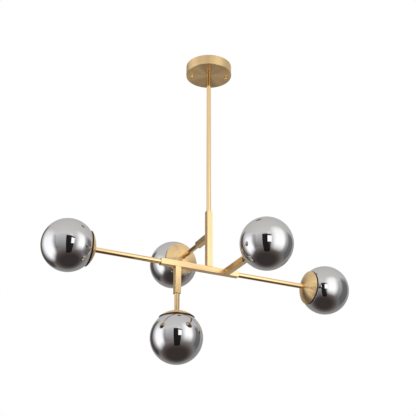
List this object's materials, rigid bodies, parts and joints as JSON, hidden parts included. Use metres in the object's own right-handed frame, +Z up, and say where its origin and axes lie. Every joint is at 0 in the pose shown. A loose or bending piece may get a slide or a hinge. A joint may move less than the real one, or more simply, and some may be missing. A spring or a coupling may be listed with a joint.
{
  "type": "branch chandelier",
  "caption": "Hanging branch chandelier: round rods off a frame of square brass blocks carry mirrored smoke glass globes under a round ceiling canopy.",
  "frame": {"origin": "middle of the ceiling bracket's top face, on the ceiling and on the down rod's axis", "axes": "+Z up, away from the lamp into the ceiling; X along the long main bar, +X towards the arm on the bar's short side; -Y along the front arm"},
  "size_m": [0.7875, 0.527, 0.7995],
  "materials": {
    "satin_brass": "plain brushed along the block, satin",
    "polished_brass": "polished, fine drawing lines along the rod",
    "brushed_brass": "spun, with fine circular brush lines",
    "smoke_glass": "smoked glass with a thin mirror coat",
    "clear_glass": "clear capsule glass",
    "black_plastic": "moulded, matt black",
    "white_nylon": "moulded, natural white",
    "white_ceramic": "unglazed, fine grain",
    "zinc_steel": "zinc plated",
    "contact_brass": "plain stamped"
  },
  "bodies": {
    "ceiling_mount": {"ceiling_bracket": "zinc_steel", "bracket_studs": "zinc_steel", "stud_nuts": "zinc_steel", "earth_screw": "zinc_steel", "terminal_block": "white_nylon", "terminal_screws": "contact_brass"},
    "canopy": {"canopy": "brushed_brass"},
    "cap_nut_left": {"cap_nut_left": "polished_brass"},
    "cap_nut_right": {"cap_nut_right": "polished_brass"},
    "frame": {"top_washer": "zinc_steel", "top_lock_nut": "zinc_steel", "top_nipple": "zinc_steel", "down_rod": "polished_brass", "stem_block": "satin_brass", "main_bar": "satin_brass", "front_block": "satin_brass", "back_block": "satin_brass", "bottom_block": "satin_brass", "block_nipples": "zinc_steel", "rod_nipples": "zinc_steel", "left_rod": "polished_brass", "right_rod": "polished_brass", "front_rod": "polished_brass", "back_rod": "polished_brass", "bottom_rod": "polished_brass", "left_cup": "brushed_brass", "left_mounting_plate": "black_plastic", "left_lampholder": "white_ceramic", "right_cup": "brushed_brass", "right_mounting_plate": "black_plastic", "right_lampholder": "white_ceramic", "front_cup": "brushed_brass", "front_mounting_plate": "black_plastic", "front_lampholder": "white_ceramic", "back_cup": "brushed_brass", "back_mounting_plate": "black_plastic", "back_lampholder": "white_ceramic", "bottom_cup": "brushed_brass", "bottom_mounting_plate": "black_plastic", "bottom_lampholder": "white_ceramic", "lamp_nipples": "zinc_steel", "cup_nuts": "zinc_steel", "plate_nuts": "zinc_steel", "holder_screws": "zinc_steel", "socket_contacts": "contact_brass"},
    "left_globe": {"left_globe": "smoke_glass"},
    "right_globe": {"right_globe": "smoke_glass"},
    "front_globe": {"front_globe": "smoke_glass"},
    "back_globe": {"back_globe": "smoke_glass"},
    "bottom_globe": {"bottom_globe": "smoke_glass"},
    "left_bulb": {"left_bulb_glass": "clear_glass", "left_bulb_base": "white_ceramic"},
    "right_bulb": {"right_bulb_glass": "clear_glass", "right_bulb_base": "white_ceramic"},
    "front_bulb": {"front_bulb_glass": "clear_glass", "front_bulb_base": "white_ceramic"},
    "back_bulb": {"back_bulb_glass": "clear_glass", "back_bulb_base": "white_ceramic"},
    "bottom_bulb": {"bottom_bulb_glass": "clear_glass", "bottom_bulb_base": "white_ceramic"}
  },
  "joints": [
    {"name": "canopy_drop", "type": "slide", "parent": "ceiling_mount", "child": "canopy", "axis": [0, 0, -1], "range_m": [0, 0.04]},
    {"name": "frame_swivel", "type": "hinge", "parent": "canopy", "child": "frame", "pos_m": [0, 0, -0.0265], "axis": [0, 0, 1], "range_deg": [-175, 175]},
    {"name": "cap_nut_left_turn", "type": "hinge", "parent": "canopy", "child": "cap_nut_left", "pos_m": [-0.04088, 0.01488, -0.0265], "axis": [0, 0, 1], "continuous": true},
    {"name": "cap_nut_right_turn", "type": "hinge", "parent": "canopy", "child": "cap_nut_right", "pos_m": [0.04088, -0.01488, -0.0265], "axis": [0, 0, 1], "continuous": true},
    {"name": "left_globe_off", "type": "slide", "parent": "frame", "child": "left_globe", "axis": [-1, 0, 0], "range_m": [0, 0.15]},
    {"name": "right_globe_off", "type": "slide", "parent": "frame", "child": "right_globe", "axis": [1, 0, 0], "range_m": [0, 0.15]},
    {"name": "front_globe_off", "type": "slide", "parent": "frame", "child": "front_globe", "axis": [0, -1, 0], "range_m": [0, 0.15]},
    {"name": "back_globe_off", "type": "slide", "parent": "frame", "child": "back_globe", "axis": [0, 1, 0], "range_m": [0, 0.15]},
    {"name": "bottom_globe_off", "type": "slide", "parent": "frame", "child": "bottom_globe", "axis": [0, 0, -1], "range_m": [0, 0.15]},
    {"name": "left_bulb_pull", "type": "slide", "parent": "frame", "child": "left_bulb", "axis": [-1, 0, 0], "range_m": [0, 0.02]},
    {"name": "right_bulb_pull", "type": "slide", "parent": "frame", "child": "right_bulb", "axis": [1, 0, 0], "range_m": [0, 0.02]},
    {"name": "front_bulb_pull", "type": "slide", "parent": "frame", "child": "front_bulb", "axis": [0, -1, 0], "range_m": [0, 0.02]},
    {"name": "back_bulb_pull", "type": "slide", "parent": "frame", "child": "back_bulb", "axis": [0, 1, 0], "range_m": [0, 0.02]},
    {"name": "bottom_bulb_pull", "type": "slide", "parent": "frame", "child": "bottom_bulb", "axis": [0, 0, -1], "range_m": [0, 0.02]}
  ]
}
